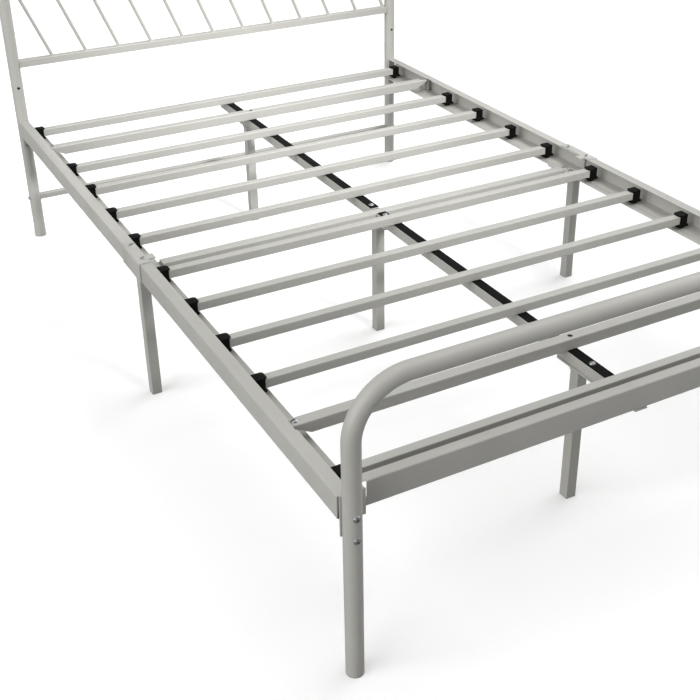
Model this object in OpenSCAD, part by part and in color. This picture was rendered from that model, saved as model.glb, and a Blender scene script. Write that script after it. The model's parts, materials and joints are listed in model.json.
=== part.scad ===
// Metal bed frame for a 120 x 190 cm mattress. Millimetres, Z up.
// The origin is on the floor, in the middle of the bed. -Y is the foot end, +Y the headboard.
// Left is -X and right is +X, seen from the foot end.

/* [Bed size] */
// Bed centre line to a post's axis, across the bed
post_x = 606; // [480:1:800]
// The same for the footboard's posts
foot_post_x = 603; // [480:1:800]
// Bed middle to a post's axis, along the bed
post_y = 996; // [900:1:1100]
// Height of the headboard's top tube axis
head_axis_z = 984; // [700:1:1300]
// Height of the footboard's top tube axis
foot_axis_z = 565; // [450:1:800]
// Where the long members are joined, along the bed
mid_y = -5; // [-50:1:50]

/* [Bent tubes] */
// Diameter of the posts and arches
post_d = 32; // [25:0.5:50]
// Wall of the bent tubes
post_wall = 1.2; // [0.8:0.1:3]
// Wall of the slats, bars, beam and legs
tube_wall = 1; // [0.8:0.1:3]
// Bend radius of the arches, on the tube's axis
bend_r = 100; // [60:1:160]
// Height of each post bolt
post_bolt_z = [335, 292];
// Height of the spare holes in the head posts
spare_hole_z = 459; // [380:1:500]
// Radius of the spare holes
spare_hole_r = 4; // [2:0.1:6]

/* [Headboard infill] */
// Height of the underside of the lower rail
head_rail_z = 514; // [420:1:600]
// Width and height of the lower rail
head_rail_w = 20; // [15:0.5:30]
// Height of the underside of the crossbar between the head legs
leg_crossbar_z = 115; // [60:1:200]
// Width and height of that crossbar
leg_crossbar_w = 16; // [12:0.5:30]
// Radius of a slanted rod
rod_r = 4.5; // [3:0.1:8]
// Number of rods that stand on the lower rail
rod_count = 12; // [4:1:20]
// First rod's foot, across the bed
rod_x0 = -496; // [-600:1:-300]
// Distance between rod feet
rod_step = 97.8; // [50:0.1:200]
// Lean of the rods from upright, towards the left
rod_lean = 22; // [5:0.5:45]

/* [Side rails] */
// Outer face of a side rail
rail_x = 620; // [490:1:820]
// Top of the rail
rail_top = 362; // [300:1:450]
// Height of the rail
rail_h = 45; // [30:1:80]
// Sheet thickness of the rails
sheet = 1.5; // [1:0.1:4]
// Sheet thickness of the sleeves that join the rail halves
joint_t = 2.5; // [1:0.1:4]
// Outer bend radius of the sheet
sheet_r = 3; // [2:0.1:6]
// Width of the top lip
lip_w = 26; // [15:1:50]
// Width of the bottom flange
flange_w = 62; // [40:1:90]
// End of the side rails
rail_end_y = 977; // [900:1:1080]
// Length of a notch in the lip beside a cross bar
notch_l = 30; // [10:1:50]
// Depth of that notch
notch_d = 3; // [1:0.5:6]

/* [Foot rail] */
// Front face of the foot rail
foot_rail_y = -965.5; // [-1050:0.5:-900]
// Height of the foot rail
foot_rail_h = 50; // [30:1:80]
// Depth of its lip and flange
foot_rail_d = 21; // [12:1:40]

/* [Slats and bars] */
// Slat width and height
slat_w = 20; // [15:0.5:30]
// Underside of the slats
slat_z = 332; // [300:1:400]
// Half length of a slat
slat_x = 590; // [450:1:790]
// Slat positions along the bed
slat_y = [920, 599, 433, 266, 98, -92, -259, -426, -592, -910];
// Cross bar width and height
bar_w = 25; // [20:0.5:35]
// Half length of a cross bar, at its top
bar_x = 597; // [450:1:790]
// Half length of a cross bar, at its bottom
bar_low_x = 556; // [420:1:780]
// Head and foot cross bars, along the bed
bar_y = 755; // [600:1:850]
// Half length of the middle bar
mid_bar_x = 554; // [420:1:700]
// Height of the middle bar
mid_bar_h = 24; // [15:0.5:30]
// Cross bar bolt, across the bed
bar_bolt_x = 585; // [440:1:780]

/* [Centre beam and legs] */
// Beam width
beam_w = 22; // [15:0.5:35]
// Underside of the beam
beam_z = 305; // [280:1:340]
// Height of the beam
beam_h = 25; // [15:0.5:40]
// Head end of the beam
beam_head_y = 969; // [900:1:990]
// Foot end of the beam
beam_foot_y = -941; // [-960:1:-900]
// Foam tape thickness
foam_t = 2; // [1:0.5:4]
// Foam tape width
foam_w = 21.6; // [12:0.1:34]
// Leg width
leg_w = 24; // [18:0.5:35]
// Outer face of the side legs
side_leg_x = 611.5; // [490:0.5:800]
// Centre legs along the bed
centre_leg_y = [779, -5, -790];
// Thickness of the plate on a centre leg
plate_t = 4; // [2:0.5:6]
// Half length of that plate
plate_y = 55; // [35:1:80]

/* [Fasteners and caps] */
// Bolt shank radius
bolt_r = 3; // [2:0.1:5]
// Radius of a clearance hole
hole_r = 3.25; // [2.2:0.05:5.5]
// Radius of a dome head
head_r = 6.5; // [4:0.1:9]
// Height of a dome head
head_h = 4; // [2:0.1:6]
// Nut size across flats
nut_af = 10; // [7:0.5:17]
// Nut thickness
nut_t = 5; // [3:0.1:8]
// Bolts of a rail joint, each side of the joint
joint_bolt_dy = 38; // [20:1:60]
// Bolts of the beam joint, each side of the joint
beam_bolt_dy = 34; // [20:1:60]
// Thickness of a foot cap's sole
cap_h = 4; // [2:0.5:10]
// Depth of a foot cap's plug
plug_h = 16; // [5:1:40]

/* [Hidden] */
$fn = 96;
post_r = post_d / 2;
rail_low = rail_top - rail_h;
flange_top = rail_low + sheet;
rail_bend_x = rail_x - sheet_r;
lip_x = rail_x - lip_w;
flange_x = rail_x - flange_w;
foot_rail_low = rail_top - foot_rail_h;
foot_bend_y = foot_rail_y + sheet_r;
foot_lip_y = foot_rail_y + foot_rail_d;
post_face_y = post_y - post_r;
plate_in_y = rail_end_y;
bracket_low = 283;
bracket_mid = 311;
bracket_x = 573;
bracket_out_x = 616;
bracket_tab_x = 592;
foot_web_x = 560.5;
foot_lip_x = lip_x - 0.5;
bracket_t = post_face_y - rail_end_y;
slat_top = slat_z + slat_w;
bar_top = slat_z + bar_w;
bar_in_top = bar_top - tube_wall;
beam_top = beam_z + beam_h;
leg_top = beam_z - plate_t;
joint_y0 = mid_y - 60;
joint_y1 = mid_y + 60;
joint_x = rail_x + joint_t;
joint_r = sheet_r + joint_t;
joint_low = rail_low - joint_t;
side_leg_in = side_leg_x - leg_w;
mid_bar_top = beam_z + mid_bar_h;
mid_bar_y0 = mid_y - bar_w / 2;
mid_bar_y1 = mid_y + bar_w / 2;
ear_x = 616;
tab_bolt_x = 575;
tab_bolt_dy = 12;
seat_x = 606;
seat_t = 3;
tongue_z = bar_in_top - seat_t;
head_leg_screw_y = 801;
foot_leg_bolt_y = -825;
pan_r = 4.9;
pan_h = 3;
access_r = 5.2;
screw_r = 2.5;
hook_w = 28;
hook_t = 2.5;
hook_front_y = -967;
hook_back_y = -905;
hook_low = beam_z - hook_t;
hook_screw_y = [-955, -922];
rail_y = post_y;
rod_top_cx = -(post_x - bend_r);
head_cz = head_axis_z - bend_r;
rod_z0 = head_rail_z + head_rail_w / 2;
rail_mid_z = leg_crossbar_z + leg_crossbar_w / 2;

// Shared shapes

module box(x0, x1, y0, y1, z0, z1) {
    translate([x0, y0, z0])
        cube([x1 - x0, y1 - y0, z1 - z0]);
}

module cyl_x(x0, x1, y, z, r) {
    translate([x0, y, z])
        rotate([0, 90, 0])
            cylinder(h = x1 - x0, r = r);
}

module cyl_y(y0, y1, x, z, r) {
    translate([x, y1, z])
        rotate([90, 0, 0])
            cylinder(h = y1 - y0, r = r);
}

module cyl_z(z0, z1, x, y, r) {
    translate([x, y, z0])
        cylinder(h = z1 - z0, r = r);
}

// A bar with rounded long edges, along X
module bar_solid(x0, x1, y, z, wy, wz, r) {
    box(x0, x1, y - wy / 2 + r, y + wy / 2 - r, z - wz / 2, z + wz / 2);
    box(x0, x1, y - wy / 2, y + wy / 2, z - wz / 2 + r, z + wz / 2 - r);
    for (a = [-1, 1], b = [-1, 1])
        cyl_x(x0, x1, y + a * (wy / 2 - r), z + b * (wz / 2 - r), r);
}

module bar_tube(x0, x1, y, z, wy, wz, r, wall) {
    difference() {
        bar_solid(x0, x1, y, z, wy, wz, r);
        bar_solid(x0 - 1, x1 + 1, y, z, wy - 2 * wall, wz - 2 * wall, r - wall);
    }
}

// A bar with rounded upright edges
module post_solid(x, y, z0, z1, w, r) {
    box(x - w / 2 + r, x + w / 2 - r, y - w / 2, y + w / 2, z0, z1);
    box(x - w / 2, x + w / 2, y - w / 2 + r, y + w / 2 - r, z0, z1);
    for (a = [-1, 1], b = [-1, 1])
        cyl_z(z0, z1, x + a * (w / 2 - r), y + b * (w / 2 - r), r);
}

module leg_tube(x, y, z1) {
    difference() {
        post_solid(x, y, cap_h, z1, leg_w, 2);
        post_solid(x, y, cap_h - 1, z1 + 1, leg_w - 2 * tube_wall, 2 - tube_wall);
    }
}

// Posts and top tube as one bent bar
module arch_solid(x, y, top, r, z0) {
    for (s = [-1, 1])
        cyl_z(z0, top - bend_r, s * x, y, r);
    for (s = [0, 1])
        mirror([s, 0, 0])
            translate([x - bend_r, y, top - bend_r])
                rotate([90, 0, 0])
                    rotate_extrude(angle = 90)
                        translate([bend_r, 0])
                            circle(r = r);
    cyl_x(-(x - bend_r), x - bend_r, y, top, r);
}

module arch_tube(x, y, top) {
    difference() {
        arch_solid(x, y, top, post_r, cap_h);
        arch_solid(x, y, top, post_r - post_wall, cap_h - 1);
    }
}

// A quarter ring of bent sheet along Y, outward to -X and up or down
module sheet_bend_y(x, z, up, y0, y1, r, t) {
    intersection() {
        difference() {
            cyl_y(y0, y1, x, z, r);
            cyl_y(y0 - 1, y1 + 1, x, z, r - t);
        }
        box(x - r - 1, x, y0, y1, up ? z : z - r - 1, up ? z + r + 1 : z);
    }
}

module sheet_bend_x(y, z, up, x0, x1, r, t) {
    intersection() {
        difference() {
            cyl_x(x0, x1, y, z, r);
            cyl_x(x0 - 1, x1 + 1, y, z, r - t);
        }
        box(x0, x1, y - r - 1, y, up ? z : z - r - 1, up ? z + r + 1 : z);
    }
}

// Dome head with a hex socket, standing on z = 0
module dome_head(r, h) {
    ball = (r * r + h * h) / (2 * h);
    difference() {
        translate([0, 0, h - ball])
            sphere(r = ball);
        translate([-ball - 1, -ball - 1, -2 * ball - 2])
            cube([2 * ball + 2, 2 * ball + 2, 2 * ball + 2]);
        translate([0, 0, h - 2.2])
            cylinder(h = 3, r = 2.3, $fn = 6);
    }
}

// Bolt with its head on z = 0 and its shank down to z = -l
module dome_bolt(l) {
    dome_head(head_r, head_h);
    translate([0, 0, -l])
        cylinder(h = l, r = bolt_r);
}

// Nut under z = 0
module nut(t = nut_t) {
    translate([0, 0, -t])
        difference() {
            cylinder(h = t, r = nut_af / sqrt(3), $fn = 6);
            translate([0, 0, -1])
                cylinder(h = t + 2, r = bolt_r);
        }
}

module screw(l) {
    cylinder(h = l, r = screw_r);
    difference() {
        translate([0, 0, -2.4])
            cylinder(h = 2.4, r = 4.6);
        translate([0, 0, -3])
            cylinder(h = 1.8, r = 1.9, $fn = 6);
    }
}

// Headboard

module headboard_tube() {
    color("#d9d7d1")
        difference() {
            arch_tube(post_x, post_y, head_axis_z);
            for (s = [-1, 1], z = post_bolt_z)
                cyl_y(post_y - post_r - 1, post_y + post_r + 1, s * post_x, z, hole_r);
            for (s = [-1, 1])
                cyl_y(post_y - post_r - 1, post_y, s * post_x, spare_hole_z, spare_hole_r);
            for (s = [-1, 1])
                cyl_x(s * post_x - post_r - 1, s * post_x + post_r + 1, post_y, rail_mid_z, hole_r);
        }
}

module lower_rail_solid(inset) {
    bar_solid(-post_x, post_x, rail_y, rod_z0, head_rail_w - inset, head_rail_w - inset, 2 - inset / 2);
}

module headboard_lower_rail() {
    color("#d9d7d1")
        difference() {
            lower_rail_solid(0);
            bar_solid(-post_x - 1, post_x + 1, rail_y, rod_z0, head_rail_w - 2 * tube_wall,
                head_rail_w - 2 * tube_wall, 2 - tube_wall);
            for (s = [-1, 1])
                cyl_z(head_rail_z - 1, head_rail_z + head_rail_w + 1, s * post_x, post_y, post_r);
        }
}

// Length of a rod from (xs, zs) up to the axis of the post, of the bend or of the top tube
function to_post(xs) = (xs + post_x) / sin(rod_lean);
function to_top(zs) = (head_axis_z - zs) / cos(rod_lean);
function bend_b(xs, zs) = -sin(rod_lean) * (xs - rod_top_cx) + cos(rod_lean) * (zs - head_cz);
function bend_c(xs, zs) = pow(xs - rod_top_cx, 2) + pow(zs - head_cz, 2) - bend_r * bend_r;
function to_bend(xs, zs) = -bend_b(xs, zs) + sqrt(pow(bend_b(xs, zs), 2) - bend_c(xs, zs));
function at_post(xs, zs) = zs + to_post(xs) * cos(rod_lean) <= head_cz;
function at_top(xs, zs) = xs - to_top(zs) * sin(rod_lean) >= rod_top_cx;
function rod_len(xs, zs) =
    at_post(xs, zs) ? to_post(xs) : at_top(xs, zs) ? to_top(zs) : to_bend(xs, zs);

module rod_from(xs, zs) {
    translate([xs, rail_y, zs])
        rotate([0, -rod_lean, 0])
            cylinder(h = rod_len(xs, zs), r = rod_r);
}

module headboard_rods() {
    color("#d9d7d1")
        difference() {
            union() {
                for (i = [0 : rod_count - 1])
                    rod_from(rod_x0 + i * rod_step + tan(rod_lean) * head_rail_w / 2, rod_z0);
                rod_from(post_x, rod_z0 + head_rail_w / 2
                    + (rod_x0 + rod_count * rod_step - post_x) / tan(rod_lean));
            }
            arch_solid(post_x, post_y, head_axis_z, post_r, cap_h);
            lower_rail_solid(0);
        }
}

module head_leg_crossbar() {
    span = post_x - post_r;
    w = leg_crossbar_w;
    in_w = w - 2 * tube_wall;
    color("#d9d7d1")
        difference() {
            bar_solid(-span - 6, span + 6, rail_y, rail_mid_z, w, w, 2);
            for (s = [-1, 1])
                cyl_z(leg_crossbar_z - 1, leg_crossbar_z + w + 1, s * post_x, post_y, post_r);
            bar_solid(-span + 4, span - 4, rail_y, rail_mid_z, in_w, in_w, 2 - tube_wall);
            cyl_x(-span - 8, span + 8, rail_y, rail_mid_z, bolt_r);
        }
}

// Footboard

module footboard_tube() {
    color("#d9d7d1")
        difference() {
            arch_tube(foot_post_x, -post_y, foot_axis_z);
            for (s = [-1, 1], z = post_bolt_z)
                cyl_y(-post_y - post_r - 1, -post_y + post_r + 1, s * foot_post_x, z, hole_r);
        }
}

module foot_rail() {
    x = foot_web_x;
    low_x = bracket_x;
    color("#d0cec8")
        difference() {
            union() {
                box(-x, x, foot_rail_y, foot_rail_y + sheet, foot_rail_low + sheet_r, rail_top - sheet_r);
                box(-foot_lip_x, foot_lip_x, foot_bend_y, foot_lip_y, rail_top - sheet, rail_top);
                box(-low_x, low_x, foot_bend_y, foot_lip_y, foot_rail_low, foot_rail_low + sheet);
                sheet_bend_x(foot_bend_y, rail_top - sheet_r, true, -x, x, sheet_r, sheet);
                sheet_bend_x(foot_bend_y, foot_rail_low + sheet_r, false, -x, x, sheet_r, sheet);
            }
            cyl_z(foot_rail_low - 1, foot_rail_low + sheet + 1, 0, hook_screw_y[0], screw_r);
        }
}

// Side rails

module rail_half(y0, y1) {
    box(-rail_x, -rail_x + sheet, y0, y1, rail_low + sheet_r, rail_top - sheet_r);
    box(-rail_bend_x, -lip_x, y0, y1, rail_top - sheet, rail_top);
    box(-rail_bend_x, -flange_x, y0, y1, rail_low, flange_top);
    sheet_bend_y(-rail_bend_x, rail_top - sheet_r, true, y0, y1, sheet_r, sheet);
    sheet_bend_y(-rail_bend_x, rail_low + sheet_r, false, y0, y1, sheet_r, sheet);
}

module side_rail(head) {
    lip_bolt_x = -605;
    bolt_y = head ? mid_y + joint_bolt_dy : mid_y - joint_bolt_dy;
    tab_y = head ? mid_y + tab_bolt_dy : mid_y - tab_bolt_dy;
    notch_y = head ? bar_y - bar_w / 2 - notch_l : -bar_y - notch_l;
    difference() {
        if (head)
            rail_half(mid_y, rail_end_y);
        else
            rail_half(-rail_end_y, mid_y);
        cyl_z(rail_top - sheet - 1, rail_top + 1, lip_bolt_x, bolt_y, hole_r);
        cyl_z(rail_low - 1, flange_top + 1, -tab_bolt_x, tab_y, hole_r);
        box(-lip_x - notch_d, -lip_x + 1, notch_y, notch_y + notch_l, rail_top - sheet - 1, rail_top + 1);
        if (!head)
            box(-bracket_x - 1, -flange_x + 1, -rail_end_y - 1, foot_lip_y + 2, rail_low - 1, flange_top + 1);
    }
}

module side_rail_head_left() {
    color("#d0cec8")
        side_rail(true);
}

module side_rail_head_right() {
    color("#d0cec8")
        mirror([1, 0, 0])
            side_rail(true);
}

module side_rail_foot_left() {
    color("#d0cec8")
        side_rail(false);
}

module side_rail_foot_right() {
    color("#d0cec8")
        mirror([1, 0, 0])
            side_rail(false);
}

// Sleeve that joins the two halves of a side rail, on top of the side leg
module rail_joint() {
    difference() {
        union() {
            box(-joint_x, -rail_x, joint_y0, joint_y1, rail_low + sheet_r, rail_top - sheet_r);
            box(-rail_bend_x, -lip_x - 2, joint_y0, joint_y1, rail_top, rail_top + joint_t);
            box(-lip_x - 3, -lip_x + 15, mid_y - 44, mid_y - 22, rail_top, rail_top + joint_t);
            box(-rail_bend_x, -flange_x + 3, joint_y0, joint_y1, joint_low, rail_low);
            sheet_bend_y(-rail_bend_x, rail_top - sheet_r, true, joint_y0, joint_y1, joint_r, joint_t);
            sheet_bend_y(-rail_bend_x, rail_low + sheet_r, false, joint_y0, joint_y1, joint_r, joint_t);
        }
        for (s = [-1, 1])
            cyl_z(rail_top - 1, rail_top + joint_t + 1, -605, mid_y + s * joint_bolt_dy, hole_r);
        for (s = [-1, 1])
            cyl_z(joint_low - 1, rail_low + 1, -tab_bolt_x, mid_y + s * tab_bolt_dy, hole_r);
    }
}

module rail_joint_left() {
    color("#d0cec8")
        rail_joint();
}

module rail_joint_right() {
    color("#d0cec8")
        mirror([1, 0, 0])
            rail_joint();
}

module side_leg_left() {
    color("#d9d7d1")
        leg_tube(-side_leg_x + leg_w / 2, mid_y, joint_low);
}

module side_leg_right() {
    color("#d9d7d1")
        leg_tube(side_leg_x - leg_w / 2, mid_y, joint_low);
}

// Angle plate between a post, a side rail and, at the foot, the foot rail
module corner_bracket(foot) {
    in_x = bracket_x - bracket_t;
    x = foot ? foot_post_x : post_x;
    difference() {
        union() {
            box(-bracket_out_x, -bracket_tab_x, -post_face_y, -plate_in_y, bracket_low, rail_top);
            if (foot) {
                box(-bracket_out_x, -in_x, -post_face_y, -plate_in_y, bracket_mid, rail_top);
                box(-bracket_x, -in_x, -plate_in_y, foot_lip_y - 1.5, foot_rail_low + sheet,
                    rail_top - sheet);
            }
        }
        for (z = post_bolt_z)
            cyl_y(-post_face_y - 1, -plate_in_y + 1, -x, z, hole_r);
    }
}

module corner_bracket_head_left() {
    color("#d0cec8")
        mirror([0, 1, 0])
            corner_bracket(false);
}

module corner_bracket_head_right() {
    color("#d0cec8")
        mirror([1, 0, 0])
            mirror([0, 1, 0])
                corner_bracket(false);
}

module corner_bracket_foot_left() {
    color("#d0cec8")
        corner_bracket(true);
}

module corner_bracket_foot_right() {
    color("#d0cec8")
        mirror([1, 0, 0])
            corner_bracket(true);
}

// Slats and their holders

module slat(i) {
    color("#dcdad5")
        bar_tube(-slat_x, slat_x, slat_y[i], slat_z + slat_w / 2, slat_w, slat_w, 2, tube_wall);
}

module slat_01() { slat(0); }
module slat_02() { slat(1); }
module slat_03() { slat(2); }
module slat_04() { slat(3); }
module slat_05() { slat(4); }
module slat_06() { slat(5); }
module slat_07() { slat(6); }
module slat_08() { slat(7); }
module slat_09() { slat(8); }
module slat_10() { slat(9); }

// Left holder: a peg on the flange, a winged foot, a socket round the slat's end and a hat
module slat_holder(y) {
    back = -slat_x - 2;
    face = -570;
    tip = -566;
    foot_z = 325;
    gap = 0.05;
    half = slat_w / 2 + gap;
    translate([0, y, 0])
        difference() {
            union() {
                box(back + 4, face - 6, -6, 6, flange_top, foot_z);
                translate([0, 0, foot_z])
                    linear_extrude(height = 3.5)
                        polygon([[back - 7, -9], [back - 4, -12], [tip - 3, -12], [tip, -9], [tip, 9],
                            [tip - 3, 12], [back - 4, 12], [back - 7, 9]]);
                box(back, face, -11.5, 11.5, foot_z, slat_top + gap);
                translate([0, 0, slat_top + gap])
                    linear_extrude(height = 3.5)
                        polygon([[back, -12], [tip - 4, -12], [tip, -8], [tip, 8], [tip - 4, 12],
                            [back, 12]]);
            }
            box(-slat_x - gap, tip + 10, -half, half, slat_z - gap, slat_top + gap);
        }
}

module slat_holders_left() {
    color("#1b1b1c")
        for (y = slat_y)
            slat_holder(y);
}

module slat_holders_right() {
    color("#1b1b1c")
        mirror([1, 0, 0])
            for (y = slat_y)
                slat_holder(y);
}

// Cross bars

module cross_bar(y) {
    color("#dcdad5")
        difference() {
            bar_tube(-bar_x, bar_x, y, slat_z + bar_w / 2, bar_w, bar_w, 2.5, tube_wall);
            for (s = [0, 1])
                mirror([s, 0, 0])
                    translate([0, y + bar_w, 0])
                        rotate([90, 0, 0])
                            linear_extrude(height = 2 * bar_w)
                                polygon([[bar_low_x, slat_z - 1], [bar_x + 1, slat_z - 1],
                                    [bar_x + 1, bar_top - 4], [bar_x, bar_top - 4], [bar_low_x, slat_z]]);
            for (s = [-1, 1])
                cyl_z(bar_in_top - 1, bar_top + 1, s * bar_bolt_x, y, hole_r);
            cyl_z(bar_in_top - 1, bar_top + 1, 0, y, access_r);
            cyl_z(slat_z - 1, slat_z + tube_wall + 1, 0, y, hole_r);
        }
}

module cross_bar_head() { cross_bar(bar_y); }
module cross_bar_foot() { cross_bar(-bar_y); }

module cross_bar_middle() {
    wall = tube_wall;
    color("#dcdad5")
        difference() {
            union() {
                bar_solid(-mid_bar_x, mid_bar_x, mid_y, beam_z + mid_bar_h / 2, bar_w, mid_bar_h, 2.5);
                for (s = [0, 1])
                    mirror([s, 0, 0])
                    {
                        box(mid_bar_x - 1, ear_x, mid_y - 20, mid_y + 18, flange_top, flange_top + sheet);
                        box(ear_x - 2, ear_x, mid_y - 20, mid_y + 18, flange_top, rail_top - 13);
                    }
            }
            bar_solid(-mid_bar_x + 2, mid_bar_x - 2, mid_y, beam_z + mid_bar_h / 2,
                bar_w - 2 * wall, mid_bar_h - 2 * wall, 2.5 - wall);
            for (s = [-1, 1], t = [-1, 1])
                cyl_z(flange_top - 1, flange_top + sheet + 1, s * tab_bolt_x, mid_y + t * tab_bolt_dy,
                    hole_r);
        }
}

// Bent seat inside the rail that a cross bar's end is bolted down on
module bar_seat(y) {
    difference() {
        union() {
            box(-seat_x, -seat_x + seat_t, y - 10, y + 10, flange_top, bar_in_top);
            box(-seat_x, -565, y - 10, y + 10, tongue_z, bar_in_top);
            box(-seat_x, -588, y - 10, y + 10, flange_top, flange_top + seat_t);
            translate([0, y + 1.5, 0])
                rotate([90, 0, 0])
                    linear_extrude(height = 3)
                        polygon([[-seat_x + 1, 330], [-592, tongue_z], [-592, tongue_z + 1],
                            [-seat_x + 1, tongue_z + 1]]);
        }
        cyl_z(tongue_z - 1, bar_in_top + 1, -bar_bolt_x, y, hole_r);
    }
}

module cross_bar_seats() {
    color("#d0cec8")
        for (s = [0, 1])
            mirror([s, 0, 0])
                for (y = [bar_y, -bar_y])
                    bar_seat(y);
}

// Centre beam, foam tape and centre legs

module beam_half(y0, y1) {
    translate([0, 0, beam_z + beam_h / 2])
        rotate([0, 0, 90])
            bar_solid(y0, y1, 0, 0, beam_w, beam_h, 2);
}

module beam_core(y0, y1) {
    wall = tube_wall;
    translate([0, 0, beam_z + beam_h / 2])
        rotate([0, 0, 90])
            bar_solid(y0, y1, 0, 0, beam_w - 2 * wall, beam_h - 2 * wall, 2 - wall);
}

module beam_hole(y, r) {
    cyl_z(beam_z - 1, beam_top + 1, 0, y, r);
}

module centre_beam_head() {
    r = 12;
    y0 = mid_bar_y1 + 0.5;
    color("#d0cec8")
        difference() {
            beam_half(y0, beam_head_y);
            beam_core(y0 - 1, beam_head_y - r);
            beam_hole(mid_y + beam_bolt_dy, hole_r);
            beam_hole(bar_y, hole_r);
            cyl_z(beam_z - 1, beam_z + tube_wall + 1, 0, head_leg_screw_y, screw_r);
            difference() {
                box(-beam_w, beam_w, beam_head_y - r, beam_head_y + 1, beam_z - 1, beam_z + r);
                cyl_x(-beam_w, beam_w, beam_head_y - r, beam_z + r, r);
            }
        }
}

module centre_beam_foot() {
    y1 = mid_bar_y0 - 0.5;
    color("#d0cec8")
        difference() {
            beam_half(beam_foot_y, y1);
            beam_core(beam_foot_y - 1, y1 + 1);
            beam_hole(mid_y - beam_bolt_dy, hole_r);
            beam_hole(-bar_y, hole_r);
            beam_hole(foot_leg_bolt_y, hole_r);
            cyl_z(beam_z - 1, beam_z + tube_wall + 1, 0, hook_screw_y[1], screw_r);
        }
}

module foam(y0, y1, holes) {
    color("#232524")
        difference() {
            box(-foam_w / 2, foam_w / 2, y0, y1, beam_top, beam_top + foam_t);
            for (y = holes)
                cyl_z(beam_top - 1, beam_top + foam_t + 1, 0, y, hole_r);
        }
}

module foam_tape_head() { foam(mid_bar_y1 + 4, 960, [mid_y + beam_bolt_dy, bar_y]); }
module foam_tape_foot() { foam(-938, mid_bar_y0 - 5, [mid_y - beam_bolt_dy, -bar_y, foot_leg_bolt_y]); }

module centre_leg(y, y0, y1, holes, screws) {
    color("#d9d7d1") {
        difference() {
            union() {
                leg_tube(0, y, leg_top);
                box(-leg_w / 2, leg_w / 2, y0, y1, leg_top, beam_z);
            }
            for (h = holes)
                cyl_z(leg_top - 1, beam_z + 1, 0, h, hole_r);
            for (h = screws)
                cyl_z(leg_top - 1, beam_z + 1, 0, h, screw_r);
        }
    }
}

module centre_leg_head() {
    centre_leg(centre_leg_y[0], bar_y - 18, head_leg_screw_y + 18, [bar_y], [head_leg_screw_y]);
}

module centre_leg_middle() {
    holes = [mid_y - beam_bolt_dy, mid_y + beam_bolt_dy];
    centre_leg(centre_leg_y[1], mid_y - plate_y, mid_y + plate_y, holes, []);
}

module centre_leg_foot() {
    y = centre_leg_y[2];
    centre_leg(y, y - plate_y, y + plate_y, [-bar_y, foot_leg_bolt_y], []);
}

// Joggled plate that hangs the beam's foot end from the foot rail
module beam_hook() {
    w = hook_w / 2;
    riser_y = foot_lip_y + 0.5;
    color("#d0cec8")
        difference() {
            union() {
                box(-w, w, hook_front_y, riser_y + hook_t, foot_rail_low - hook_t, foot_rail_low);
                box(-w, w, riser_y, riser_y + hook_t, hook_low, foot_rail_low);
                box(-w, w, riser_y, hook_back_y, hook_low, beam_z);
            }
            cyl_z(foot_rail_low - hook_t - 1, foot_rail_low + 1, 0, hook_screw_y[0], screw_r);
            cyl_z(hook_low - 1, beam_z + 1, 0, hook_screw_y[1], screw_r);
        }
}

// Fasteners

module post_bolts() {
    color("#b9b9b6")
        for (s = [-1, 1], t = [0, 1], z = post_bolt_z)
            mirror([0, t, 0])
                translate([s * (t == 0 ? foot_post_x : post_x), -post_y - post_r, z])
                    rotate([90, 0, 0])
                        dome_bolt(post_d + bracket_t + nut_t + 2);
}

module rail_joint_bolts() {
    color("#b9b9b6")
        for (s = [-1, 1], t = [-1, 1])
            translate([s * 605, mid_y + t * joint_bolt_dy, rail_top + joint_t])
                dome_bolt(joint_t + sheet + nut_t + 2);
}

module cross_bar_bolts() {
    color("#b9b9b6")
        for (s = [-1, 1], t = [-1, 1])
            translate([s * bar_bolt_x, t * bar_y, bar_top])
                dome_bolt(tube_wall + seat_t + nut_t + 2);
}

module middle_bar_bolts() {
    color("#b9b9b6")
        for (s = [-1, 1], t = [-1, 1])
            translate([s * tab_bolt_x, mid_y + t * tab_bolt_dy, flange_top + sheet])
                dome_bolt(2 * sheet + joint_t + nut_t + 2);
}

module beam_bolts() {
    color("#b9b9b6")
        for (y = [mid_y + beam_bolt_dy, mid_y - beam_bolt_dy, foot_leg_bolt_y])
            translate([0, y, beam_top + foam_t])
                dome_bolt(foam_t + beam_h + plate_t + nut_t + 2);
}

// Bolts that stand inside the head and foot cross bars
module bar_through_bolts() {
    z = slat_z + tube_wall;
    color("#5a5a58")
        for (t = [-1, 1]) {
            difference() {
                cyl_z(z, z + pan_h, 0, t * bar_y, pan_r);
                translate([0, t * bar_y, z + 1])
                    cylinder(h = pan_h, r = 2.3, $fn = 6);
            }
            cyl_z(leg_top - nut_t - 2, z, 0, t * bar_y, bolt_r);
        }
}

module hex_nuts() {
    color("#b9b9b6") {
        for (s = [-1, 1], t = [0, 1], z = post_bolt_z)
            mirror([0, t, 0])
                translate([s * (t == 0 ? foot_post_x : post_x), -plate_in_y, z])
                    rotate([90, 0, 0])
                        nut();
        for (s = [-1, 1], t = [-1, 1]) {
            translate([s * 605, mid_y + t * joint_bolt_dy, rail_top - sheet])
                nut();
            translate([s * bar_bolt_x, t * bar_y, tongue_z])
                nut();
            translate([s * tab_bolt_x, mid_y + t * tab_bolt_dy, joint_low])
                nut();
        }
        for (y = [mid_y + beam_bolt_dy, mid_y - beam_bolt_dy, foot_leg_bolt_y, bar_y, -bar_y])
            translate([0, y, leg_top])
                nut();
    }
}

module under_screws() {
    color("#b9b9b6") {
        translate([0, head_leg_screw_y, leg_top])
            screw(plate_t + 6);
        translate([0, hook_screw_y[0], foot_rail_low - hook_t])
            screw(hook_t + 6);
        translate([0, hook_screw_y[1], hook_low])
            screw(hook_t + 6);
    }
}

module leg_crossbar_bolts() {
    color("#b9b9b6")
        for (s = [0, 1])
            mirror([s, 0, 0])
                translate([-post_x - post_r, post_y, rail_mid_z])
                    rotate([0, -90, 0])
                        dome_bolt(post_d + 14);
}

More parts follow.
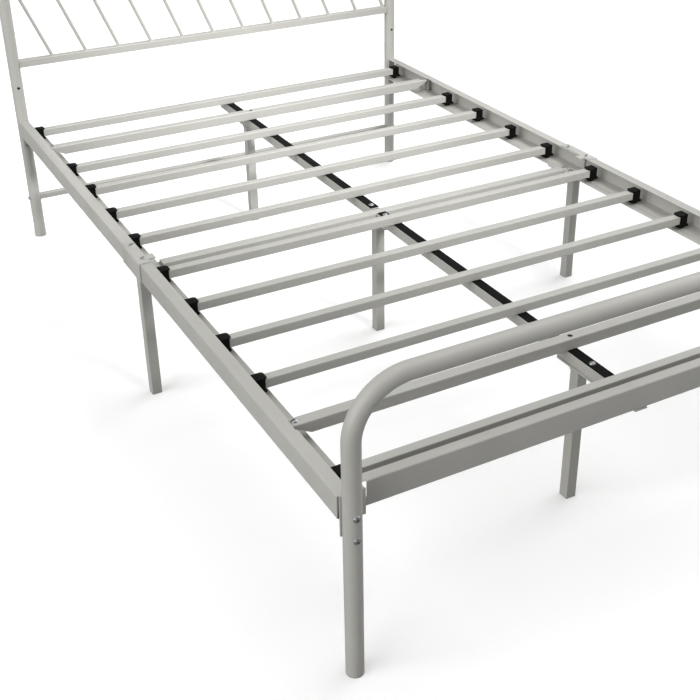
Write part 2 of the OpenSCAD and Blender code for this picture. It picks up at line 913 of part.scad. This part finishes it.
// Foot caps

module round_foot_caps() {
    color("#cfcdc8")
        for (s = [-1, 1], t = [-1, 1]) {
            x = t < 0 ? foot_post_x : post_x;
            cyl_z(0, cap_h, s * x, t * post_y, post_r);
            cyl_z(cap_h, cap_h + plug_h, s * x, t * post_y, post_r - post_wall - 0.05);
        }
}

module square_cap(x, y) {
    post_solid(x, y, 0, cap_h, leg_w, 2);
    translate([x - leg_w / 2 + tube_wall + 0.4, y - leg_w / 2 + tube_wall + 0.4, cap_h])
        cube([leg_w - 2 * tube_wall - 0.8, leg_w - 2 * tube_wall - 0.8, plug_h]);
}

module square_foot_caps() {
    color("#cfcdc8") {
        for (s = [-1, 1])
            square_cap(s * (side_leg_x - leg_w / 2), mid_y);
        for (y = centre_leg_y)
            square_cap(0, y);
    }
}

headboard_tube();
headboard_lower_rail();
headboard_rods();
head_leg_crossbar();
footboard_tube();
foot_rail();
side_rail_head_left();
side_rail_head_right();
side_rail_foot_left();
side_rail_foot_right();
rail_joint_left();
rail_joint_right();
side_leg_left();
side_leg_right();
slat_01();
slat_02();
slat_03();
slat_04();
slat_05();
slat_06();
slat_07();
slat_08();
slat_09();
slat_10();
slat_holders_left();
slat_holders_right();
cross_bar_head();
cross_bar_foot();
cross_bar_middle();
cross_bar_seats();
centre_beam_head();
centre_beam_foot();
foam_tape_head();
foam_tape_foot();
centre_leg_head();
centre_leg_middle();
centre_leg_foot();
beam_hook();
corner_bracket_head_left();
corner_bracket_head_right();
corner_bracket_foot_left();
corner_bracket_foot_right();
post_bolts();
rail_joint_bolts();
cross_bar_bolts();
middle_bar_bolts();
beam_bolts();
bar_through_bolts();
hex_nuts();
under_screws();
leg_crossbar_bolts();
round_foot_caps();
square_foot_caps();
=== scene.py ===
# %% [markdown]
# A metal bed frame: the frame itself comes from CAD, and this lesson gives it its finishes,
# its weld beads and its softened edges, then lights it like a studio product shot.
# The frame is loaded first and never moved, so every new piece is placed from its boxes.

# %% The CAD frame
import json
import math

import bmesh
import bpy
from mathutils import Matrix, Vector


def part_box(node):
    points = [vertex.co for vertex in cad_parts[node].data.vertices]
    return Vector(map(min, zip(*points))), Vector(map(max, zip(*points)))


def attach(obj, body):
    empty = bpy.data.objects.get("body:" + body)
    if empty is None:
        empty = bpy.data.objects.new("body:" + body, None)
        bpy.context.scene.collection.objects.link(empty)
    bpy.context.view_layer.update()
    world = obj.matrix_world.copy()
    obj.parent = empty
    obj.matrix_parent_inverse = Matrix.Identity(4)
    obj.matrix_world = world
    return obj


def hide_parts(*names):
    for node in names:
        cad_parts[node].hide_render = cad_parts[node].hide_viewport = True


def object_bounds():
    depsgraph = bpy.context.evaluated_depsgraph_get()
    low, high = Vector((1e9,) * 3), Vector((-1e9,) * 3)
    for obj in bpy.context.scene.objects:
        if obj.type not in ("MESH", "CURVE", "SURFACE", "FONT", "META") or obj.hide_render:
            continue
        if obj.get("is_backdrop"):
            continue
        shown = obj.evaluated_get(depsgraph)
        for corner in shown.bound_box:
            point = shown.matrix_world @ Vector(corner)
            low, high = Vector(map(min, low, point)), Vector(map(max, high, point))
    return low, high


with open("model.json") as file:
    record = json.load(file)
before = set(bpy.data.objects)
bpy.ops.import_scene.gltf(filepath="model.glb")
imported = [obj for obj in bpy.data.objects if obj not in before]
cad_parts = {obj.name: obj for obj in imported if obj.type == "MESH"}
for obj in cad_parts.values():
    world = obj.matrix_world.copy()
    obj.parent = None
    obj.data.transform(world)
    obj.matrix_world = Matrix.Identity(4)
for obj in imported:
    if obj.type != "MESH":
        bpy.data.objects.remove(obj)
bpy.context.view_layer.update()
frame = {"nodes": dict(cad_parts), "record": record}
MM = 0.001

# %% [markdown]
# Colours are picked as the hex values a designer would use, which are sRGB. A shader wants
# linear light, so one function turns the first into the second.

# %% Colour


def linear(hex_colour):
    parts = [int(hex_colour[i : i + 2], 16) / 255 for i in (1, 3, 5)]
    flat = [p / 12.92 if p <= 0.04045 else ((p + 0.055) / 1.055) ** 2.4 for p in parts]
    return (*flat, 1.0)


print("white", linear("#FFFFFF"))

# %% [markdown]
# Every finish is a small tree of nodes. One helper adds a node, sets its sockets and makes
# its links, so that each material reads as a list of what it is made of.

# %% A helper that adds one node


def add(material, kind, settings=None, **inputs):
    node = material.node_tree.nodes.new(kind)
    for name, value in (settings or {}).items():
        setattr(node, name, value)
    for name, value in inputs.items():
        key = int(name[1:]) if name[0] == "_" else name.replace("_", " ")
        socket = node.inputs[key]
        if isinstance(value, bpy.types.NodeSocket):
            material.node_tree.links.new(value, socket)
        else:
            socket.default_value = value
    return node


def new_material(name):
    material = bpy.data.materials.new(name)
    material.use_nodes = True
    material.node_tree.nodes.clear()
    return material


def finish_material(material, shader):
    output = material.node_tree.nodes.new("ShaderNodeOutputMaterial")
    material.node_tree.links.new(shader.outputs["BSDF"], output.inputs["Surface"])
    return material


# %% [markdown]
# The steel is dipped in polyester powder and baked. The powder melts into a satin skin about
# 0.08 mm thick that is never quite flat: it keeps a faint orange peel, its gloss changes a
# little from place to place, and tiny specks stay in it. The peel is about 2 mm from crest to
# crest, so noise at that pitch bends the light, and slower noise shifts colour and gloss.

# %% Satin powder coat


def powder_coat(name, light, dark):
    m = new_material(name)
    place = add(m, "ShaderNodeTexCoord").outputs["Object"]
    cloud = add(m, "ShaderNodeTexNoise", Vector=place, Scale=1 / (120 * MM), Detail=3.0)
    speck = add(m, "ShaderNodeTexNoise", Vector=place, Scale=1 / (0.9 * MM), Detail=2.0)
    peel = add(m, "ShaderNodeTexNoise", Vector=place, Scale=1 / (2.2 * MM), Detail=2.0)
    drift = add(m, "ShaderNodeMapRange", Value=cloud.outputs["Fac"], From_Min=0.3, From_Max=0.7)
    grain = add(m, "ShaderNodeMapRange", Value=speck.outputs["Fac"], From_Min=0.35, From_Max=0.75,
                To_Max=0.35)
    both = add(m, "ShaderNodeMath", {"operation": "MULTIPLY_ADD", "use_clamp": True},
               _0=drift.outputs["Result"], _1=0.65, _2=grain.outputs["Result"])
    tone = add(m, "ShaderNodeMix", {"data_type": "RGBA"}, _0=both.outputs["Value"],
               _6=linear(light), _7=linear(dark))
    gloss = add(m, "ShaderNodeMapRange", Value=cloud.outputs["Fac"], From_Min=0.3, From_Max=0.7,
                To_Min=0.33, To_Max=0.43)
    bump = add(m, "ShaderNodeBump", Height=peel.outputs["Fac"], Strength=0.25, Distance=0.06 * MM)
    skin = add(m, "ShaderNodeBsdfPrincipled", Base_Color=tone.outputs["Result"],
               Roughness=gloss.outputs["Result"], Normal=bump.outputs["Normal"])
    skin.inputs["IOR"].default_value = 1.52
    return finish_material(m, skin)


coat = powder_coat("satin_powder_coat", "#B8B7B2", "#AFAEA8")

# %% [markdown]
# The slat holders are injection-moulded polypropylene, black all through. The mould was
# spark-eroded, which leaves a fine matt grain of about half a millimetre.

# %% Moulded black polypropylene
black_pp = new_material("moulded_black_polypropylene")
place = add(black_pp, "ShaderNodeTexCoord").outputs["Object"]
grain = add(black_pp, "ShaderNodeTexNoise", Vector=place, Scale=1 / (0.5 * MM), Detail=3.0)
scuff = add(black_pp, "ShaderNodeTexNoise", Vector=place, Scale=1 / (14 * MM), Detail=4.0)
shade = add(black_pp, "ShaderNodeMapRange", Value=scuff.outputs["Fac"], From_Min=0.45,
            From_Max=0.75)
tone = add(black_pp, "ShaderNodeMix", {"data_type": "RGBA"}, _0=shade.outputs["Result"],
           _6=linear("#060605"), _7=linear("#0F0F0E"))
bump = add(black_pp, "ShaderNodeBump", Height=grain.outputs["Fac"], Strength=0.35,
           Distance=0.08 * MM)
skin = add(black_pp, "ShaderNodeBsdfPrincipled", Base_Color=tone.outputs["Result"], Roughness=0.55,
           Normal=bump.outputs["Normal"], Specular_IOR_Level=0.12)
finish_material(black_pp, skin)

# %% [markdown]
# A strip of closed-cell foam is stuck along the centre beam to stop rattles. Cut foam shows
# its cells, about 1 mm across, as small pits, and it shines very little.

# %% Closed-cell foam tape
foam = new_material("closed_cell_foam_tape")
place = add(foam, "ShaderNodeTexCoord").outputs["Object"]
cells = add(foam, "ShaderNodeTexVoronoi", Vector=place, Scale=1 / (1.1 * MM))
dust = add(foam, "ShaderNodeTexNoise", Vector=place, Scale=1 / (30 * MM), Detail=4.0)
tone = add(foam, "ShaderNodeMix", {"data_type": "RGBA"}, _0=dust.outputs["Fac"],
           _6=linear("#070908"), _7=linear("#101312"))
bump = add(foam, "ShaderNodeBump", Height=cells.outputs["Distance"], Strength=0.6,
           Distance=0.3 * MM)
skin = add(foam, "ShaderNodeBsdfPrincipled", Base_Color=tone.outputs["Result"], Roughness=0.9,
           Normal=bump.outputs["Normal"], Specular_IOR_Level=0.12)
finish_material(foam, skin)

# %% [markdown]
# The bolts and nuts are zinc plated and clear passivated: a soft, bluish grey metal that is
# brighter where a spanner has rubbed it and duller in between.

# %% Zinc-plated steel


def plated_steel(name, light, dark, rough_low, rough_high):
    m = new_material(name)
    place = add(m, "ShaderNodeTexCoord").outputs["Object"]
    cloud = add(m, "ShaderNodeTexNoise", Vector=place, Scale=1 / (4 * MM), Detail=4.0)
    fine = add(m, "ShaderNodeTexNoise", Vector=place, Scale=1 / (0.6 * MM), Detail=2.0)
    tone = add(m, "ShaderNodeMix", {"data_type": "RGBA"}, _0=cloud.outputs["Fac"],
               _6=linear(light), _7=linear(dark))
    gloss = add(m, "ShaderNodeMapRange", Value=cloud.outputs["Fac"], From_Min=0.3, From_Max=0.7,
                To_Min=rough_low, To_Max=rough_high)
    bump = add(m, "ShaderNodeBump", Height=fine.outputs["Fac"], Strength=0.2, Distance=0.03 * MM)
    skin = add(m, "ShaderNodeBsdfPrincipled", Base_Color=tone.outputs["Result"], Metallic=1.0,
               Roughness=gloss.outputs["Result"], Normal=bump.outputs["Normal"])
    return finish_material(m, skin)


zinc = plated_steel("clear_zinc_plate", "#B4B6B7", "#7F8182", 0.24, 0.42)
black_oxide = plated_steel("black_oxide_steel", "#4A4A4A", "#2C2C2C", 0.35, 0.5)

# %% [markdown]
# The feet end in pale polyethylene caps. They pick up fine scuffs, so their colour and gloss
# are broken up more than the paint's.

# %% Moulded polyethylene caps
cap_pe = new_material("moulded_pale_polyethylene")
place = add(cap_pe, "ShaderNodeTexCoord").outputs["Object"]
scuff = add(cap_pe, "ShaderNodeTexNoise", Vector=place, Scale=1 / (6 * MM), Detail=5.0)
tone = add(cap_pe, "ShaderNodeMix", {"data_type": "RGBA"}, _0=scuff.outputs["Fac"],
           _6=linear("#BAB8B1"), _7=linear("#A3A19A"))
bump = add(cap_pe, "ShaderNodeBump", Height=scuff.outputs["Fac"], Strength=0.3, Distance=0.1 * MM)
skin = add(cap_pe, "ShaderNodeBsdfPrincipled", Base_Color=tone.outputs["Result"], Roughness=0.55,
           Normal=bump.outputs["Normal"])
finish_material(cap_pe, skin)

# %% Finishes by material slot
FINISH = {"powder_coat": coat, "moulded_plastic": black_pp, "foam_tape": foam,
          "zinc_steel": zinc, "dark_steel": black_oxide, "cap_plastic": cap_pe}
slot_of = {p["node"]: p["material_slot"] for p in frame["record"]["subparts"]}
for name, node in frame["nodes"].items():
    node.data.materials.clear()
    node.data.materials.append(FINISH[slot_of[name]])
print(len(frame["nodes"]), "nodes finished")

# %% [markdown]
# Pressed sheet and moulded plastic never have knife edges: the shear and the mould leave a small
# round on each one, and the paint fills it out, so every edge carries a thin line of light. The
# CAD pieces are sharp there. Each is copied, its loose triangles are joined, its flat faces are
# made whole, and its sharp edges are bevelled. The copy then stands for the CAD piece.

# %% Softened edges
WELDED = 0.01 * MM  # points closer than this are one point
FLAT = math.radians(0.5)  # faces that differ by less than this are one flat face
CORNER = math.radians(50)  # an edge that turns more than this is rounded
CREASE = math.radians(32)  # an edge that turns more than this stays crisp in the shading


def soften(name, width):
    source = frame["nodes"][name]
    shape = bmesh.new()
    shape.from_mesh(source.data)
    bmesh.ops.remove_doubles(shape, verts=shape.verts, dist=WELDED)
    bmesh.ops.dissolve_limit(shape, angle_limit=FLAT, verts=shape.verts, edges=shape.edges)
    sharp = [e for e in shape.edges if len(e.link_faces) == 2 and e.calc_face_angle() > CORNER]
    bmesh.ops.bevel(shape, geom=sharp, offset=width, offset_type="OFFSET", segments=2, profile=0.5,
                    affect="EDGES", clamp_overlap=True, material=-1)
    data = bpy.data.meshes.new(name + "_softened")
    shape.to_mesh(data)
    shape.free()
    data.shade_smooth()
    data.set_sharp_from_angle(angle=CREASE)
    piece = bpy.data.objects.new(name + "_softened", data)
    bpy.context.scene.collection.objects.link(piece)
    data.materials.append(FINISH[slot_of[name]])
    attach(piece, "root")
    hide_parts(name)
    return piece


sides = ("left", "right")
softened = [soften("slat_holders_" + s, 0.5 * MM) for s in sides]
softened += [soften("rail_joint_" + s, 0.35 * MM) for s in sides]
softened += [soften(f"corner_bracket_{e}_{s}", 0.35 * MM) for e in ("head", "foot") for s in sides]
softened += [soften(name, 0.35 * MM) for name in ("beam_hook", "cross_bar_seats", "foot_rail")]
softened += [soften(f"side_rail_{e}_{s}", 0.3 * MM) for e in ("head", "foot") for s in sides]
print(len(softened), "pieces softened,", sum(len(o.data.polygons) for o in softened), "faces")

# %% [markdown]
# The rods, the lower rail and the legs are MIG welded before the paint goes on. A weld bead is a
# row of small overlapping puddles, about 3 mm wide, that the powder rounds off but doesn't hide.
# A ring of it starts as a small circle that is spun into a torus, and its radius is then made to
# swell and pinch around the ring for the puddles.

# %% Weld rings
REACH, PUDDLES, SWELL = 1.7 * MM, 11, 0.22
STRETCH = 1.33  # how far a ring on square tube reaches into the tube's corners


def weld_ring(shape, place, radius, square=0.0):
    start = len(shape.verts)
    stand = Matrix.Translation((radius, 0, 0)) @ Matrix.Rotation(math.pi / 2, 4, "X")
    made = bmesh.ops.create_circle(shape, cap_ends=False, radius=REACH, segments=8, matrix=stand)
    ring = [e for e in shape.edges if all(v in made["verts"] for v in e.verts)]
    bmesh.ops.spin(shape, geom=made["verts"] + ring, cent=(0, 0, 0), axis=(0, 0, 1), dvec=(0, 0, 0),
                   angle=math.tau, steps=44, use_merge=True, use_duplicate=False)
    shape.verts.ensure_lookup_table()
    for v in shape.verts[start:]:
        turn = math.atan2(v.co.y, v.co.x)
        core = Vector((math.cos(turn), math.sin(turn), 0.0)) * radius
        swell = 1.0 + SWELL * math.sin(PUDDLES * turn)
        corner = 1.0 / max(abs(math.cos(turn)), abs(math.sin(turn)))
        v.co = core * (1.0 + square * (min(corner, STRETCH) - 1.0)) + (v.co - core) * swell
        v.co = place @ v.co


def weld_piece(name, rings):
    shape = bmesh.new()
    for place, radius, square in rings:
        weld_ring(shape, place, radius, square)
    bmesh.ops.remove_doubles(shape, verts=shape.verts, dist=WELDED)
    bmesh.ops.recalc_face_normals(shape, faces=shape.faces)
    data = bpy.data.meshes.new(name)
    shape.to_mesh(data)
    shape.free()
    data.shade_smooth()
    piece = bpy.data.objects.new(name, data)
    bpy.context.scene.collection.objects.link(piece)
    data.materials.append(painted_weld)
    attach(piece, "root")
    print(name, len(rings), "rings,", len(data.polygons), "faces")
    return piece


painted_weld = powder_coat("powder_coat_over_weld", "#B6B5B0", "#A9A8A2")

# %% [markdown]
# Each rod leans to the left where it stands on the lower rail, so its ring is a circle stretched
# along the rail. The rods stand 97.8 mm apart.

# %% Welds at the rods' feet
rail_low, rail_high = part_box("headboard_lower_rail")
rail_y = (rail_low.y + rail_high.y) / 2
LEAN, FIRST_ROD, ROD_PITCH, ROD_RING = math.radians(22), -496, 97.8, 5.0 * MM
stretch = Matrix.Diagonal((1 / math.cos(LEAN), 1, 1, 1))
rod_feet = []
for i in range(12):
    x = (FIRST_ROD + ROD_PITCH * i) * MM
    rod_feet.append((Matrix.Translation((x, rail_y, rail_high.z)) @ stretch, ROD_RING, 0.0))
weld_piece("weld_beads_rods", rod_feet)

# %% [markdown]
# The side legs are welded under the sleeves, the centre legs under their plates, and both are
# square tube, so their rings are pulled out towards the corners.

# %% Welds on the legs
LEG_RING = 12.2 * MM
PLATE_DROP = 4.6 * MM  # from the top of a centre leg's plate to the weld under it
CENTRE_LEG_Y = (0.779, -0.005, -0.790)
leg_rings = []
for name in ("side_leg_left", "side_leg_right"):
    low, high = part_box(name)
    middle = Matrix.Translation(((low.x + high.x) / 2, (low.y + high.y) / 2, high.z - 0.6 * MM))
    leg_rings.append((middle, LEG_RING, 1.0))
plate_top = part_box("centre_leg_middle")[1].z
for y in CENTRE_LEG_Y:
    leg_rings.append((Matrix.Translation((0.0, y, plate_top - PLATE_DROP)), LEG_RING, 1.0))
weld_piece("weld_beads_legs", leg_rings)

# %% [markdown]
# The lower rail ends against the round posts. Its rings stand upright around the square rail.

# %% Welds at the lower rail's ends
POST_RADIUS, SUNK, RAIL_RING = 16 * MM, 1.4 * MM, 10.2 * MM
post_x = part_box("headboard_tube")[1].x - POST_RADIUS
end_x = post_x - (POST_RADIUS - SUNK)
rail_z = (rail_low.z + rail_high.z) / 2
upright = Matrix.Rotation(math.pi / 2, 4, "Y")
rail_rings = []
for side in (-1, 1):
    rail_rings.append((Matrix.Translation((side * end_x, rail_y, rail_z)) @ upright,
                       RAIL_RING, 1.0))
weld_piece("weld_beads_rail", rail_rings)

# %% [markdown]
# The camera stands at the foot end, to the left of the bed and well above it. A slightly long
# lens keeps the near post from swelling, and a small shift places the frame in the picture.

# %% Camera
AZIMUTH, ELEVATION, ROLL = math.radians(-28.7), math.radians(28.8), math.radians(-0.5)
STAND = (-1.2451, -2.2267, 1.4599)
back = Vector((math.sin(AZIMUTH) * math.cos(ELEVATION),
               -math.cos(AZIMUTH) * math.cos(ELEVATION), math.sin(ELEVATION)))
camera_data = bpy.data.cameras.new("camera")
camera_data.lens = 58.75
camera_data.sensor_width = 36.0
camera_data.shift_x = -0.0264
camera_data.shift_y = -0.0604
camera_data.clip_end = 60.0
camera = bpy.data.objects.new("camera", camera_data)
right = Vector((math.cos(AZIMUTH), math.sin(AZIMUTH), 0.0))
up = back.cross(right)
side = right * math.cos(ROLL) + up * math.sin(ROLL)
top = up * math.cos(ROLL) - right * math.sin(ROLL)
turn = Matrix((side, top, back)).transposed().to_4x4()
camera.matrix_world = Matrix.Translation(STAND) @ turn
bpy.context.scene.collection.objects.link(camera)
bpy.context.scene.camera = camera
print("camera at", [round(v, 3) for v in camera.matrix_world.translation])

# %% [markdown]
# The bed stands on white paper that runs past the edges of the picture. The paper is white and
# glows very faintly in the picture, but such paper would throw too much light up at the steel,
# so it is much greyer to every other ray. In a studio, black card laid just out of the frame
# does this.

# %% Paper
PAPER_HALF, GLOW = 14.0, 0.07
floor_data = bpy.data.meshes.new("floor")
sheet = bmesh.new()
bmesh.ops.create_grid(sheet, x_segments=1, y_segments=1, size=PAPER_HALF)
sheet.to_mesh(floor_data)
sheet.free()
floor = bpy.data.objects.new("floor", floor_data)
bpy.context.scene.collection.objects.link(floor)
paper = new_material("studio_paper")
seen = add(paper, "ShaderNodeLightPath").outputs["Is Camera Ray"]
tone = add(paper, "ShaderNodeMix", {"data_type": "RGBA"}, _0=seen, _6=linear("#9C9C9C"),
           _7=linear("#FFFFFF"))
glow = add(paper, "ShaderNodeMath", {"operation": "MULTIPLY"}, _0=seen, _1=GLOW)
finish_material(paper, add(paper, "ShaderNodeBsdfPrincipled", Base_Color=tone.outputs["Result"],
                           Roughness=0.9, Specular_IOR_Level=0.1, Emission_Color=(1, 1, 1, 1),
                           Emission_Strength=glow.outputs[0]))
floor_data.materials.append(paper)
floor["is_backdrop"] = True
print("paper", [round(v, 1) for v in floor.dimensions], "m")

# %% [markdown]
# A big soft box hangs almost straight above the bed, a second one stands low on the right, and
# a third, a little higher, on the left. They are suns with a wide angle, so they fall evenly
# from one end to the other. A small box with a narrow beam stands past the foot end and looks
# over it at the headboard, so the faces that look towards the foot end are bright at the head
# and a step darker at the foot. No lamp stands close to a side of the bed, so its sides keep
# their grey when they are seen square on.

# %% Lights
world = bpy.data.worlds.new("studio")
bpy.context.scene.world = world
world.use_nodes = True
sky = world.node_tree.nodes["Background"]
sky.inputs["Color"].default_value = (1.0, 1.0, 1.0, 1.0)
sky.inputs["Strength"].default_value = 0.34


def soft_sun(name, azimuth, elevation, strength, spread):
    lamp = bpy.data.lights.new(name, "SUN")
    lamp.energy = strength
    lamp.angle = math.radians(spread)
    obj = bpy.data.objects.new(name, lamp)
    a, e = math.radians(azimuth), math.radians(elevation)
    toward = Vector((math.sin(a) * math.cos(e), -math.cos(a) * math.cos(e), math.sin(e)))
    obj.rotation_mode = "QUATERNION"
    obj.rotation_quaternion = toward.to_track_quat("Z", "Y")
    bpy.context.scene.collection.objects.link(obj)
    print(name, "from azimuth", azimuth, "elevation", elevation, "strength", strength)


soft_sun("overhead", 100, 76, 1.05, 60)
soft_sun("from_right", 105, 12, 2.0, 50)
soft_sun("from_left", -82, 24, 2.0, 60)

# %% The box that looks at the headboard
BEAM_AT = Vector((0.0, 0.95, 0.38))
box_data = bpy.data.lights.new("head_box", "AREA")
box_data.size = 0.7
box_data.spread = math.radians(30)
box_data.energy = 6.4
head_box = bpy.data.objects.new("head_box", box_data)
head_box.location = (0.6, -2.8, 2.6)
head_box.rotation_mode = "QUATERNION"
head_box.rotation_quaternion = (head_box.location - BEAM_AT).to_track_quat("Z", "Y")
head_box.visible_camera = False
bpy.context.scene.collection.objects.link(head_box)
bpy.context.scene.view_settings.view_transform = "Standard"

# %% The boxes
low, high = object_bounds()
